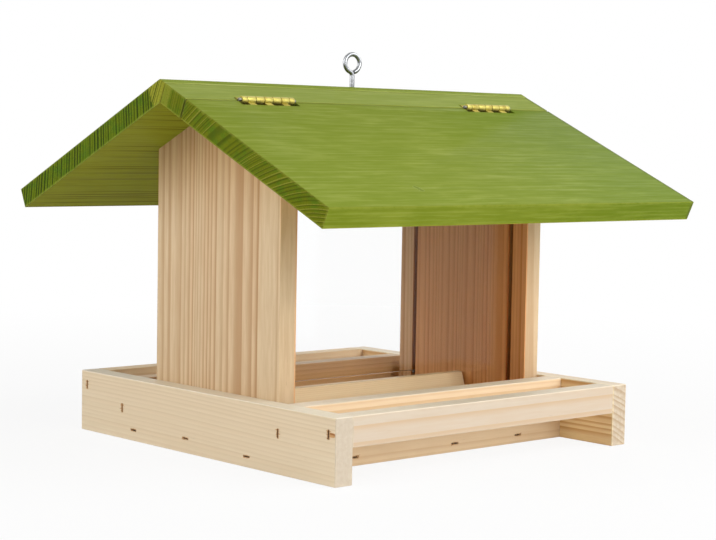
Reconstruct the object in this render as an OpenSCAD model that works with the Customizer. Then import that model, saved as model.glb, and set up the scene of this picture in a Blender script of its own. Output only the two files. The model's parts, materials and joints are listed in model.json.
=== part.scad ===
// Hanging bird feeder: a wooden seed tray with a perch rail along each side,
// two gable uprights that hold a pair of clear panes, and a pitched roof with
// one lid that swings up on two butt hinges to fill the hopper.
// Frame: X runs along the ridge, -Y is the side with the lid, +Z is up.
// The origin is in the middle of the tray's underside. Sizes in millimetres.

/* [Tray] */
// Length of the tray along the ridge, over the end rails
tray_length = 234; // [190:1:320]
// Depth of the tray across the ridge, which is the length of the end rails
tray_depth = 240; // [215:1:320]
// Height of the end rails and of the two inner rails
tray_height = 37; // [34:1:60]
// Thickness of each end rail
end_rail_t = 12; // [8:0.5:20]
// Thickness of each inner rail
inner_rail_t = 12; // [8:0.5:16]
// Thickness of each perch rail
perch_rail_t = 12; // [8:0.5:16]
// Height of each perch rail
perch_rail_h = 17; // [12:1:24]
// Open gap between a perch rail and the inner rail beside it
perch_gap = 30; // [20:1:34]
// Thickness of the floor board
floor_t = 12; // [6:0.5:14]

/* [Seed divider] */
// Height of the wedge that parts the seed, above the floor
divider_h = 22; // [12:1:30]
// Width of the wedge at the floor
divider_base_w = 20; // [12:1:30]
// Width of the wedge at its top
divider_top_w = 6; // [3:0.5:10]
// Gap between each end of the wedge and the upright
divider_end_gap = 0.5; // [0.2:0.1:1]

/* [Uprights] */
// Width of each upright across the ridge
upright_w = 115; // [90:1:125]
// Thickness of each upright
upright_t = 12; // [9:0.5:20]
// Width of the groove that holds a pane
groove_w = 4; // [3.5:0.1:5]
// Depth of the groove
groove_depth = 4; // [3:0.1:5]
// Wood left between a groove and the upright's edge
groove_margin = 12; // [8:0.5:20]

/* [Panes] */
// Thickness of each clear pane
pane_t = 3; // [2:0.1:3.2]
// Play between a pane's side and the bottom of its groove
pane_side_gap = 0.5; // [0.2:0.1:1]
// Height of the slot under each pane, where the seed comes out
seed_slot_h = 18; // [10:1:22]
// Space between a pane's top and the roof
pane_top_gap = 2.5; // [1:0.5:6]
// Diameter of the pins that a pane stands on
stop_pin_d = 1.8; // [1.4:0.1:2.4]
// Depth that each pin is driven past the bottom of the groove
stop_pin_depth = 5; // [3:0.5:6]

/* [Roof] */
// Height of the ridge above the ground
ridge_h = 214; // [185:1:280]
// Slope of each side of the roof, in degrees
roof_pitch = 24.4; // [18:0.1:32]
// Length of the roof along the ridge
roof_length = 292; // [250:1:380]
// Length of each slope, from the ridge to the eave
slope_length = 159; // [140:1:200]
// Thickness of the roof boards
roof_board_t = 12; // [10:0.5:18]
// Distance down the front slope from the ridge to the hinge line
hinge_line = 26.4; // [22:0.1:40]
// Clearance between the closed lid and the uprights that it lies on
lid_seat_gap = 0.3; // [0.2:0.1:0.5]

/* [Hinges] */
// Length of each hinge
hinge_length = 38; // [34:1:50]
// Distance from the roof's end to the near end of the hinge
hinge_inset = 38; // [20:0.5:60]
// Diameter of the hinge pin
pin_d = 2; // [1.4:0.1:2.2]
// Thickness of each leaf, which is also the wall of its knuckles
leaf_t = 1; // [0.7:0.1:1.1]
// Height of the pin's centre above the roof's surface
pin_rise = 0.6; // [0.4:0.05:1.2]
// Radial play of the pin in the lid's knuckles
pin_play = 0.05; // [0.02:0.01:0.1]
// Length of pin that shows past each end of the barrel
pin_end = 1.5; // [0.5:0.1:2]
// Number of knuckles, an odd number, the outer two on the fixed leaf
knuckle_count = 7; // [5:2:9]
// Length of the first and last knuckle
end_knuckle = 3.8; // [3:0.1:6]
// Gap between neighbouring knuckles
knuckle_gap = 0.3; // [0.2:0.05:0.5]
// Width of the tongue that joins a knuckle to its leaf
tongue_w = 4.8; // [3:0.1:5]
// Distance from the pin's centre to the wall of the pocket, where the leaf stands
pocket_reach = 5.2; // [4.6:0.1:5.5]
// Depth of the pocket below the roof's surface
pocket_depth = 10; // [8:0.5:10]
// Space between each end of the pin and the end of the pocket
pocket_end_gap = 0.3; // [0.3:0.1:1]
// Joint that shows between the ridge strip and the lid
joint_gap = 1; // [0.6:0.1:2]

/* [Eye screw] */
// Inside diameter of the ring
eye_inner_d = 8; // [6:0.5:12]
// Diameter of the wire that makes the ring
eye_wire_d = 2.8; // [2:0.1:4]
// Diameter of the shank
eye_shank_d = 3; // [2.4:0.1:4]
// Length of shank that shows, from the wood to the ring
eye_neck = 9.6; // [6:0.1:15]
// Depth that the screw goes into the wood
eye_depth = 11; // [8:0.5:11.5]
// Distance of the screw behind the ridge line
eye_offset = 4; // [3:0.5:6]
// Part of the circle that the bent wire covers, in degrees
eye_wrap = 338; // [300:1:345]
// Turn of the ring away from the ridge, in degrees
eye_turn = 6; // [0:1:20]

/* [Hidden] */
$fn = 48;

pine = "burlywood";
stained_pine = "olivedrab";
brass = "goldenrod";
zinc = "silver";
clear = "lightblue";

// Tray
rail_run = tray_length - 2 * end_rail_t;
perch_inner_y = tray_depth / 2 - perch_rail_t;
inner_rail_outer_y = perch_inner_y - perch_gap;
inner_rail_inner_y = inner_rail_outer_y - inner_rail_t;

// Uprights and panes
upright_outer_x = rail_run / 2;
upright_inner_x = upright_outer_x - upright_t;
groove_outer_y = upright_w / 2 - groove_margin;
pane_y = groove_outer_y - groove_w / 2;
pane_low_z = floor_t + seed_slot_h;
pane_length = 2 * (upright_inner_x + groove_depth - pane_side_gap);

// Roof
under_peak_z = ridge_h - roof_board_t / cos(roof_pitch);
strip_top_s = roof_board_t * tan(roof_pitch);
strip_low_s = hinge_line - joint_gap / 2;
lid_top_s = hinge_line + joint_gap / 2;
// Height of the roof's underside at a distance y from the ridge, less a gap
function under_roof_z(y, gap = 0) =
    ridge_h - (roof_board_t + gap) / cos(roof_pitch) - abs(y) * tan(roof_pitch);
// A point of the front slope in Y and Z: s down the slope, n out of its surface
function slope_point(s, n) = [
    -s * cos(roof_pitch) - n * sin(roof_pitch),
    ridge_h - s * sin(roof_pitch) + n * cos(roof_pitch)
];

// Hinges
hinge_x = roof_length / 2 - hinge_inset - hinge_length / 2;
barrel_r = pin_d / 2 + leaf_t;
inner_knuckle = (hinge_length - 2 * end_knuckle) / (knuckle_count - 2);
// A cut runs this far past a face that it goes through
over = 1;

// Extrudes a Y-Z outline along X, centred on x
module along_x(length, x = 0) {
    translate([x - length / 2, 0, 0])
        rotate([90, 0, 90])
            linear_extrude(height = length) children();
}

// A box from one corner to the opposite one
module block(low, high) {
    translate(low) cube(high - low);
}

// A cylinder that lies along X
module rod_x(length, d, x = 0) {
    translate([x - length / 2, 0, 0])
        rotate([0, 90, 0]) cylinder(h = length, d = d);
}

// Puts its children on the front slope: their -Y runs down it, +Z out of it
module on_front_slope() {
    translate([0, 0, ridge_h]) rotate([roof_pitch, 0, 0]) children();
}

// Puts its children on the hinge line of one hinge
module on_hinge(side) {
    on_front_slope() translate([side * hinge_x, -hinge_line, pin_rise]) children();
}

module end_rail(side) {
    far = side * tray_length / 2;
    near = side * upright_outer_x;
    color(pine)
        block(
            [min(far, near), -tray_depth / 2, 0],
            [max(far, near), tray_depth / 2, tray_height]
        );
}

module inner_rail(side) {
    outer = side * inner_rail_outer_y;
    inner = side * inner_rail_inner_y;
    color(pine)
        block(
            [-rail_run / 2, min(outer, inner), 0],
            [rail_run / 2, max(outer, inner), tray_height]
        );
}

module perch_rail(side) {
    outer = side * tray_depth / 2;
    inner = side * perch_inner_y;
    color(pine)
        block(
            [-rail_run / 2, min(outer, inner), tray_height - perch_rail_h],
            [rail_run / 2, max(outer, inner), tray_height]
        );
}

module tray_floor() {
    color(pine)
        block(
            [-rail_run / 2, -inner_rail_inner_y, 0],
            [rail_run / 2, inner_rail_inner_y, floor_t]
        );
}

module seed_divider() {
    color(pine)
        along_x(2 * (upright_inner_x - divider_end_gap))
            polygon([
                [-divider_base_w / 2, floor_t],
                [divider_base_w / 2, floor_t],
                [divider_top_w / 2, floor_t + divider_h],
                [-divider_top_w / 2, floor_t + divider_h]
            ]);
}

// The gable outline: the front slope steps down by the seat gap under the lid
module upright_outline() {
    half = upright_w / 2;
    polygon([
        [half, floor_t],
        [half, under_roof_z(half)],
        [0, under_peak_z],
        slope_point(strip_low_s, -roof_board_t),
        slope_point(strip_low_s, -roof_board_t - lid_seat_gap),
        [-half, under_roof_z(half, lid_seat_gap)],
        [-half, floor_t]
    ]);
}

module stop_pins(side) {
    length = groove_depth + stop_pin_depth;
    for (pane = [-1, 1])
        translate([0, pane * pane_y, pane_low_z - stop_pin_d / 2])
            rod_x(length, stop_pin_d, side * (upright_inner_x + length / 2));
}

module upright(side) {
    color(pine)
        difference() {
            along_x(upright_t, side * (upright_inner_x + upright_t / 2)) upright_outline();
            for (pane = [-1, 1])
                translate([side * upright_inner_x, pane * pane_y, 0])
                    block(
                        [-groove_depth, -groove_w / 2, floor_t - over],
                        [groove_depth, groove_w / 2, ridge_h]
                    );
            stop_pins(side);
        }
}

module pane(side) {
    edge_y = pane_y + pane_t / 2;
    color(clear)
        block(
            [-pane_length / 2, side * pane_y - pane_t / 2, pane_low_z],
            [
                pane_length / 2,
                side * pane_y + pane_t / 2,
                under_roof_z(edge_y, lid_seat_gap) - pane_top_gap
            ]
        );
}

module pane_stop_pins() {
    color(zinc) for (side = [-1, 1]) stop_pins(side);
}

// The bevelled top edge stands behind the square edge of the ridge strip
module back_roof_board() {
    back = [for (n = [-roof_board_t, 0]) slope_point(slope_length, n)];
    color(stained_pine)
        difference() {
            along_x(roof_length)
                polygon([
                    [0, ridge_h],
                    slope_point(strip_top_s, 0),
                    [0, under_peak_z],
                    [-back[0][0], back[0][1]],
                    [-back[1][0], back[1][1]]
                ]);
            translate([0, eye_offset, eye_tip_z()])
                cylinder(h = eye_depth + roof_board_t, d = eye_shank_d);
        }
}

// The pocket for one hinge in a board's edge. face is 1 on the ridge strip and
// -1 on the lid
module hinge_pocket(side, face) {
    half_length = hinge_length / 2 + pin_end + pocket_end_gap;
    wall = face * pocket_reach;
    on_hinge(side)
        block(
            [-half_length, min(0, wall), -pocket_depth - pin_rise],
            [half_length, max(0, wall), barrel_r]
        );
}

// A board of the front slope, from s_high to s_low down the slope
module slope_board(s_high, s_low, face) {
    color(stained_pine)
        difference() {
            on_front_slope()
                block(
                    [-roof_length / 2, -s_low, -roof_board_t],
                    [roof_length / 2, -s_high, 0]
                );
            for (side = [-1, 1]) hinge_pocket(side, face);
        }
}

module ridge_strip() {
    slope_board(strip_top_s, strip_low_s, 1);
}

module roof_lid() {
    slope_board(lid_top_s, slope_length, -1);
}

// Where knuckle k begins along the hinge, from the hinge's middle
function knuckle_x(k) =
    k == 0 ? -hinge_length / 2 : end_knuckle + (k - 1) * inner_knuckle - hinge_length / 2;
// Length of knuckle k
function knuckle_length(k) =
    k == 0 || k == knuckle_count - 1 ? end_knuckle : inner_knuckle;

// One leaf: a plate that stands on the pocket's wall, and the knuckles, each
// joined to it by a tongue under the barrel. face is 1 on the ridge strip and
// -1 on the lid, first is its first knuckle, and play widens its pin hole
module hinge_leaf(side, face, first, play) {
    wall = face * pocket_reach;
    plate = face * (pocket_reach - leaf_t);
    color(brass)
        on_hinge(side)
            difference() {
                union() {
                    block(
                        [-hinge_length / 2, min(wall, plate), -pocket_depth - pin_rise],
                        [hinge_length / 2, max(wall, plate), -barrel_r]
                    );
                    for (k = [first : 2 : knuckle_count - 1]) {
                        length = knuckle_length(k) - knuckle_gap;
                        middle = knuckle_x(k) + knuckle_length(k) / 2;
                        half = min(tongue_w, length) / 2;
                        rod_x(length, 2 * barrel_r, middle);
                        block(
                            [middle - half, min(0, wall), -barrel_r - leaf_t / 2],
                            [middle + half, max(0, wall), -barrel_r + leaf_t]
                        );
                    }
                }
                rod_x(hinge_length + 2 * over, pin_d + 2 * play);
            }
}

module hinge_pin(side) {
    color(zinc) on_hinge(side) rod_x(hinge_length + 2 * pin_end, pin_d);
}

// Height of the roof's surface where the eye screw goes in
function eye_surface_z() = ridge_h - eye_offset * tan(roof_pitch);
// Height of the screw's tip
function eye_tip_z() = eye_surface_z() - eye_depth;

module eye_screw() {
    ring_r = (eye_inner_d + eye_wire_d) / 2;
    ring_z = eye_surface_z() + eye_neck + eye_inner_d / 2 + eye_wire_d;
    color(zinc)
        translate([0, eye_offset, 0]) {
            translate([0, 0, eye_tip_z()])
                cylinder(h = ring_z - ring_r - eye_tip_z(), d = eye_shank_d);
            translate([0, 0, ring_z - ring_r]) sphere(d = eye_shank_d);
            translate([0, 0, ring_z])
                rotate([90, eye_wrap - 270, -eye_turn])
                    rotate_extrude(angle = eye_wrap)
                        translate([ring_r, 0]) circle(d = eye_wire_d);
        }
}

end_rail(-1);  // left_end_rail
end_rail(1);  // right_end_rail
inner_rail(-1);  // front_inner_rail
inner_rail(1);  // back_inner_rail
perch_rail(-1);  // front_perch_rail
perch_rail(1);  // back_perch_rail
tray_floor();
seed_divider();
upright(-1);  // left_upright
upright(1);  // right_upright
pane(-1);  // front_pane
pane(1);  // back_pane
pane_stop_pins();
back_roof_board();
ridge_strip();
roof_lid();
hinge_leaf(-1, 1, 0, 0);  // left_hinge_fixed_leaf
hinge_leaf(-1, -1, 1, pin_play);  // left_hinge_lid_leaf
hinge_pin(-1);  // left_hinge_pin
hinge_leaf(1, 1, 0, 0);  // right_hinge_fixed_leaf
hinge_leaf(1, -1, 1, pin_play);  // right_hinge_lid_leaf
hinge_pin(1);  // right_hinge_pin
eye_screw();
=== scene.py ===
# %% [markdown]
# # A hanging bird feeder in pine, with a green-stained roof
# The feeder is a small piece of joinery: a stapled pine tray, two gable boards that hold clear panes,
# and a pitched roof whose front half lifts on two brass butt hinges. A CAD model gives every piece its
# true size and place, and this lesson gives each piece its finish: growth rings that run right through
# a board, stain that soaks into the end grain, bruised wood round the staples and brass hardware.

# %% Load the CAD model
import json
import math
import random

import bmesh
import bpy
from mathutils import Matrix, Vector


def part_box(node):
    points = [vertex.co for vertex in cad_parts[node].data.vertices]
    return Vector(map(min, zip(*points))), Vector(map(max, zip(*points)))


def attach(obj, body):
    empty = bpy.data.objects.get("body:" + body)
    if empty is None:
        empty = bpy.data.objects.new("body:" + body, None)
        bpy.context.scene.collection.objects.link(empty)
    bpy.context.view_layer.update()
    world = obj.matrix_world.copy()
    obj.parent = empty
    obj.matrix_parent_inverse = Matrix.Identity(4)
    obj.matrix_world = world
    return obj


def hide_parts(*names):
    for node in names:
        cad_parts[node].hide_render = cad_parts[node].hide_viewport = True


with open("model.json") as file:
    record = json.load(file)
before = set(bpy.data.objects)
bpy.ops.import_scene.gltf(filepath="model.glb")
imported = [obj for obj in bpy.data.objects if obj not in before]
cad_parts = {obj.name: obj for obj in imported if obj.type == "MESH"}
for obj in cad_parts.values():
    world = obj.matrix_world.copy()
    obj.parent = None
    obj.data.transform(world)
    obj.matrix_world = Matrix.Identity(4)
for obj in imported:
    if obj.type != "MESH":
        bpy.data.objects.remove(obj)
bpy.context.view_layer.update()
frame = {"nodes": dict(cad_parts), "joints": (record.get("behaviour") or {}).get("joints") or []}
MM = 0.001

# %% [markdown]
# ## Measures that the rest is worked out from
# The roof's slope, the place of a rail or the height of the tray could be typed in, but then they would
# be wrong as soon as the maker changes a size. They are read from the model's own boxes and corners, so
# the grain, the staples and the screws move with the boards that they belong to.

# %% Read the driving sizes
def size_of(node):
    low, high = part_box(node)
    return high - low


def middle_of(node):
    low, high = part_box(node)
    return (low + high) / 2


def corners_of(node):
    return [v.co for v in frame["nodes"][node].data.vertices]


hinge_point = Vector(frame["joints"][0]["pos_m"])
eave_low = min(corners_of("back_roof_board"), key=lambda co: co.z)
eave_tip = max(corners_of("back_roof_board"), key=lambda co: co.y)
roof_pitch = math.atan2(eave_tip.y - eave_low.y, eave_tip.z - eave_low.z)
tray_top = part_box("left_end_rail")[1].z
print("roof pitch in degrees:", round(math.degrees(roof_pitch), 1), "tray in mm:", round(tray_top / MM, 1))

# %% [markdown]
# ## Short words for building node trees
# A procedural finish is a graph of nodes. Adding each node and link by hand takes four or five lines, so
# a recipe soon runs to pages. One helper adds a node and fills its inputs, and a few more stand on it
# for arithmetic, smooth steps, mixing and noise. A recipe then reads like its own description.

# %% Add nodes and do arithmetic with them
def fill(tree, socket, value):
    """Links value if it comes out of another node, and else sets it on the socket."""
    if isinstance(value, bpy.types.NodeSocket):
        tree.links.new(value, socket)
    else:
        socket.default_value = value


def add_node(tree, kind, inputs=None, **settings):
    made = tree.nodes.new("ShaderNode" + kind)
    for name, value in settings.items():
        setattr(made, name, value)
    for name, value in (inputs or {}).items():
        fill(tree, made.inputs[name], value)
    return made


def calc(tree, operation, *values):
    return add_node(tree, "Math", dict(enumerate(values)), operation=operation).outputs[0]


def move(tree, operation, *values):
    made = add_node(tree, "VectorMath", dict(enumerate(values)), operation=operation)
    return made.outputs["Value" if operation in ("LENGTH", "DOT_PRODUCT") else "Vector"]


def split(tree, place):
    return add_node(tree, "SeparateXYZ", {"Vector": place}).outputs


def own_place(tree):
    return add_node(tree, "TexCoord").outputs["Object"]


def into_box(tree, place, centre, turn):
    """The place as seen from a box that lies at centre, turned by the angles in turn."""
    inputs = {"Vector": place, "Location": centre, "Rotation": turn}
    return add_node(tree, "Mapping", inputs, vector_type="TEXTURE").outputs[0]


print("helpers for nodes ready")

# %% Smooth steps, colour mixing and noise
def ramp(tree, value, low, high, to_low=0.0, to_high=1.0):
    """A smooth step from to_low to to_high while value goes from low to high."""
    inputs = dict(enumerate((value, low, high, to_low, to_high)))
    return add_node(tree, "MapRange", inputs, interpolation_type="SMOOTHSTEP").outputs[0]


def blend(tree, share, first, second, kind="MIX"):
    """Mixes two colours. share is how much of the second shows."""
    made = add_node(tree, "Mix", data_type="RGBA", blend_type=kind)
    fill(tree, made.inputs["Factor"], share)
    fill(tree, made.inputs["A"], first)
    fill(tree, made.inputs["B"], second)
    return made.outputs["Result"]


def glaze(tree, colour, mask, share, other):
    """A thin coat of another colour where the mask is high."""
    return blend(tree, calc(tree, "MULTIPLY", mask, share), colour, other)


def noise(tree, place, scale, detail=2.0, roughness=0.5, output="Fac"):
    inputs = {"Vector": place, "Scale": scale, "Detail": detail, "Roughness": roughness}
    return add_node(tree, "TexNoise", inputs).outputs[output]


def stretched_noise(tree, place, scales, *settings, **more):
    """Noise with its own scale along each axis, so that it can run in long threads."""
    return noise(tree, move(tree, "MULTIPLY", place, scales), 1.0, *settings, **more)


def line_noise(tree, distance):
    inputs = {"W": distance, "Scale": 1.0, "Detail": 1.0}
    return add_node(tree, "TexNoise", inputs, noise_dimensions="1D").outputs[0]


def shade(red, green, blue):
    """A display colour, 0 to 255 a channel, as the linear colour that a shader works in."""
    return tuple(((c / 255 + 0.055) / 1.055) ** 2.4 for c in (red, green, blue)) + (1.0,)


def tinted(colour, by):
    return tuple(c * b for c, b in zip(colour, by))


print("a fresh pine yellow in linear light:", [round(c, 3) for c in shade(224, 208, 180)[:3]])

# %% Make groups and materials
def new_group(name, inputs, outputs):
    """An empty shader node group. inputs maps a socket's name to its default, outputs lists names."""
    tree = bpy.data.node_groups.new(name, "ShaderNodeTree")
    for label, default in inputs.items():
        kind = "NodeSocketVector" if isinstance(default, tuple) else "NodeSocketFloat"
        socket = tree.interface.new_socket(name=label, in_out="INPUT", socket_type=kind)
        socket.default_value = default
    for label in outputs:
        tree.interface.new_socket(name=label, in_out="OUTPUT", socket_type="NodeSocketFloat")
    entry = tree.nodes.new("NodeGroupInput")
    leave = tree.nodes.new("NodeGroupOutput")
    return tree, entry.outputs, leave.inputs


def use_group(tree, group, inputs):
    made = tree.nodes.new("ShaderNodeGroup")
    made.node_tree = group
    for name, value in inputs.items():
        fill(tree, made.inputs[name], value)
    return made.outputs


def start_material(name):
    made = bpy.data.materials.new(name)
    made.use_nodes = True
    return made, made.node_tree, made.node_tree.nodes["Principled BSDF"]


print("helpers for groups and materials ready")

# %% [markdown]
# ## Growth rings
# A board is a slice out of a log, and a log is a nest of cones round its pith. Stripes could be drawn on
# each face, but then they would not meet the rings on the ends. If the colour is worked out in the log's
# own space, as distance from the pith, long stripes and curved rings appear by themselves and agree at
# every corner. Soft early wood darkens slowly into late wood and stops short where the next spring
# began, so each ring has one soft edge and one sharp one. A few dry years lie close together.

# %% The growth ring group
def make_growth_rings():
    tree, given, result = new_group(
        "growth_rings",
        {"Place": (0, 0, 0), "Spacing": 2 * MM, "Drift": 1.0, "Wander": 1.5 * MM, "Seed": 0.0,
         "Dry Years At": 0.1, "Dry Years Width": 0.02, "Dry Years Count": 0.0, "Faintest": 0.5},
        ("Late Wood", "Year Tone"),
    )
    # No trunk is quite round or straight, so the place sways a little on its way up the log.
    sway = stretched_noise(tree, given["Place"], (16.0, 16.0, 4.5), output="Color")
    sway = move(tree, "MULTIPLY", move(tree, "SUBTRACT", sway, (0.5, 0.5, 0.5)), given["Wander"])
    place = move(tree, "ADD", given["Place"], sway)
    radius = move(tree, "LENGTH", move(tree, "MULTIPLY", place, (1.0, 1.0, 0.0)))
    # Good and bad decades widen and narrow the rings, and dry years crowd some of them together.
    decade = calc(tree, "MULTIPLY_ADD", radius, 60.0, given["Seed"])
    drift = calc(tree, "SUBTRACT", line_noise(tree, decade), 0.5)
    drift = calc(tree, "MULTIPLY", drift, calc(tree, "MULTIPLY", given["Drift"], 6.0))
    dry_start = calc(tree, "SUBTRACT", given["Dry Years At"], given["Dry Years Width"])
    dry_end = calc(tree, "ADD", given["Dry Years At"], given["Dry Years Width"])
    dry = calc(tree, "MULTIPLY", ramp(tree, radius, dry_start, dry_end), given["Dry Years Count"])
    years = calc(tree, "ADD", calc(tree, "DIVIDE", radius, given["Spacing"]), calc(tree, "ADD", drift, dry))
    # The part after the point is the season, and the whole number is the year, each with its own tone.
    season = calc(tree, "FRACT", years)
    year = calc(tree, "ADD", calc(tree, "FLOOR", years), given["Seed"])
    tone = add_node(tree, "TexWhiteNoise", {"W": year}, noise_dimensions="1D").outputs["Value"]
    rise = calc(tree, "POWER", ramp(tree, season, 0.20, 0.92), 1.4)
    fall = ramp(tree, season, 0.93, 1.0, 1.0, 0.0)
    strength = ramp(tree, tone, 0.0, 1.0, given["Faintest"], 1.0)
    late_wood = calc(tree, "MULTIPLY", calc(tree, "MULTIPLY", rise, fall), strength)
    fill(tree, result["Late Wood"], late_wood)
    fill(tree, result["Year Tone"], tone)
    return tree


growth_rings = make_growth_rings()
print("made group", growth_rings.name, "with", len(growth_rings.nodes), "nodes")

# %% [markdown]
# ## Fibre, resin flecks and cloudiness
# Between the rings a planed face shows fine fibre streaks, long and thin along the grain, short dark
# flecks where resin canals were cut open, and slow clouds of warmer and cooler wood. Fine threads of
# mesh would be far too many, so all of them are noise in a space that is stretched along the log.

# %% The fibre group
def make_fibre():
    tree, given, result = new_group("fibre", {"Place": (0, 0, 0)}, ("Streaks", "Bands", "Flecks", "Clouds"))
    place = given["Place"]
    fine = stretched_noise(tree, place, (2600.0, 2600.0, 40.0))
    broad = stretched_noise(tree, place, (620.0, 620.0, 9.0))
    streaks = calc(tree, "MULTIPLY_ADD", fine, 0.5, calc(tree, "MULTIPLY", broad, 0.5))
    bands = stretched_noise(tree, place, (420.0, 420.0, 34.0), 3.0, 0.6)
    canals = stretched_noise(tree, place, (1500.0, 1500.0, 130.0), 1.0)
    clouds = stretched_noise(tree, place, (22.0, 22.0, 6.0))
    fill(tree, result["Streaks"], ramp(tree, streaks, 0.3, 0.7))
    fill(tree, result["Bands"], ramp(tree, bands, 0.36, 0.64))
    fill(tree, result["Flecks"], ramp(tree, canals, 0.70, 0.76))
    fill(tree, result["Clouds"], ramp(tree, clouds, 0.3, 0.7))
    return tree


fibre = make_fibre()
print("made group", fibre.name, "with", len(fibre.nodes), "nodes")

# %% [markdown]
# ## Arrises and end grain
# An arris is the corner line between two faces. Sandpaper and handling wear it first. It could be found
# from the curve of a finely cut mesh, but a board is a plain box: in its own space the distance to the
# nearest arris is the middle one of the three distances to its sides. The same space tells where the
# cut ends are.

# %% The arris group
# End grain is full this near to a cut end, and gone this far from it.
END_SKIN = (0.25 * MM, 0.6 * MM)


def make_arris():
    tree, given, result = new_group(
        "arris", {"Place": (0, 0, 0), "Half Size": (0.1, 0.1, 0.1), "Width": 1 * MM}, ("Arris", "End Grain"))
    gap = split(tree, move(tree, "SUBTRACT", given["Half Size"], move(tree, "ABSOLUTE", given["Place"])))
    least = calc(tree, "MINIMUM", gap["X"], gap["Y"])
    most = calc(tree, "MAXIMUM", gap["X"], gap["Y"])
    middle = calc(tree, "MAXIMUM", least, calc(tree, "MINIMUM", most, gap["Z"]))
    ragged = noise(tree, given["Place"], 260.0, 3.0, 0.6)
    width = calc(tree, "MULTIPLY", given["Width"], ramp(tree, ragged, 0.25, 0.75, 0.3, 1.7))
    worn = calc(tree, "SUBTRACT", 1.0, calc(tree, "MINIMUM", 1.0, calc(tree, "DIVIDE", middle, width)))
    fill(tree, result["Arris"], calc(tree, "MAXIMUM", worn, 0.0))
    fill(tree, result["End Grain"], ramp(tree, gap["Z"], *END_SKIN, 1.0, 0.0))
    return tree


arris = make_arris()
print("made group", arris.name, "with", len(arris.nodes), "nodes")

# %% [markdown]
# ## A board's own space
# A sloping roof board and a level rail should share one recipe. So each board gets three axes of its
# own: X across its width, Y through its thickness and Z along its grain. They are found from the
# model's corners, and a Mapping node set to Texture takes the object's coordinates into that space. A
# second Mapping node moves on from the board's middle to the pith of the log that it was sawn from.

# %% Find a board's axes
X_AXIS, Y_AXIS, Z_AXIS = Vector((1, 0, 0)), Vector((0, 1, 0)), Vector((0, 0, 1))
front_slope = Vector((0, -math.sin(roof_pitch), math.cos(roof_pitch)))
back_slope = Vector((0, math.sin(roof_pitch), math.cos(roof_pitch)))


def board_space(node, face, grain):
    """(turn, centre, half size) of a board whose broad face looks along face, its grain along grain."""
    turn = Matrix((face.cross(grain), face, grain)).transposed()
    corners = [turn.transposed() @ co for co in corners_of(node)]
    low = Vector([min(c[i] for c in corners) for i in range(3)])
    high = Vector([max(c[i] for c in corners) for i in range(3)])
    return turn, turn @ ((low + high) / 2), (high - low) / 2


lid_half = board_space("roof_lid", front_slope, X_AXIS)[2]
print("the lid's width, thickness and length in mm:", [round(2 * c / MM, 1) for c in lid_half])

# %% Lay the log's figure into a board
def read_wood(tree, node, cut):
    """The board's own space in this material, and what the shared groups make of it."""
    turn, centre, half = board_space(node, cut["face"], cut["grain"])
    own = own_place(tree)
    place = into_box(tree, own, centre, turn.to_euler())
    from_pith = (-cut["pith"][0], -cut["pith"][1], cut["seed"])
    to_log = {"Vector": place, "Location": from_pith, "Rotation": cut.get("lean", (0, 0, 0))}
    log = add_node(tree, "Mapping", to_log).outputs[0]
    dry_at, dry_width, dry_count = cut.get("dry_years", (0.1, 0.02, 0.0))
    rings = use_group(tree, growth_rings, {
        "Place": log, "Spacing": cut["ring_gap"], "Drift": cut.get("drift", 0.5),
        "Wander": cut.get("wander", 2 * MM), "Seed": cut["seed"], "Dry Years At": dry_at,
        "Dry Years Width": dry_width, "Dry Years Count": dry_count, "Faintest": cut.get("faintest", 0.5)})
    edges = use_group(tree, arris, {"Place": place, "Half Size": half})
    threads = use_group(tree, fibre, {"Place": log})
    return dict(turn=turn, centre=centre, half=half, own=own, place=place, parts=split(tree, place),
                late=rings["Late Wood"], tone=rings["Year Tone"], threads=threads,
                arris=edges["Arris"], end_grain=edges["End Grain"])


def plane_smooth(tree, shader, wood, colour, rough, gloss, rings_stand, depth, strength):
    """The planed surface: late wood is harder than early wood, so it stands proud by a hair."""
    streaks = wood["threads"]["Streaks"]
    fill(tree, shader.inputs["Base Color"], colour)
    fill(tree, shader.inputs["Roughness"], ramp(tree, streaks, 0.0, 1.0, *rough))
    shader.inputs["Specular IOR Level"].default_value = gloss
    fibres = calc(tree, "MULTIPLY", streaks, 1 - rings_stand)
    relief = calc(tree, "MULTIPLY_ADD", wood["late"], rings_stand, fibres)
    bump = add_node(tree, "Bump", {"Height": relief, "Distance": depth, "Strength": strength})
    fill(tree, shader.inputs["Normal"], bump.outputs[0])


print("helpers for boards ready")

# %% [markdown]
# ## Bruised wood round a staple
# A staple gun drives the crown a little under the surface. The fibres round it tear and darken, more
# along the grain than across it, and the dent's core gets painted shade as well. A painted spot would
# need its own picture for each staple, so the bruise is a soft box with a ragged edge, worked out from
# the crown's place and size.

# %% The bruise group
def make_bruise():
    tree, given, result = new_group(
        "bruise", {"Place": (0, 0, 0), "Centre": (0, 0, 0), "Half Size": (0, 0, 0)}, ("Bruise",))
    off = move(tree, "ABSOLUTE", move(tree, "SUBTRACT", given["Place"], given["Centre"]))
    outside = move(tree, "MAXIMUM", move(tree, "SUBTRACT", off, given["Half Size"]), (0.0, 0.0, 0.0))
    reach = move(tree, "LENGTH", move(tree, "MULTIPLY", outside, (1300.0, 600.0, 700.0)))
    ragged = stretched_noise(tree, given["Place"], (1300.0, 1300.0, 260.0))
    fill(tree, result["Bruise"], ramp(tree, calc(tree, "MULTIPLY_ADD", ragged, 1.6, reach), 1.85, 0.8))
    return tree


bruise = make_bruise()
print("made group", bruise.name, "with", len(bruise.nodes), "nodes")

# %% [markdown]
# ## Where the staples go
# The tray is held by narrow wire staples. Upright ones go through an end rail into the end of a perch
# rail or an inner rail, and level ones go into the edge of the floor. An array would set them out too
# evenly: they are driven by hand, so each lies a few degrees off its line and bruises the wood more or
# less. The places come from the middles of the rails that they hold.

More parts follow.
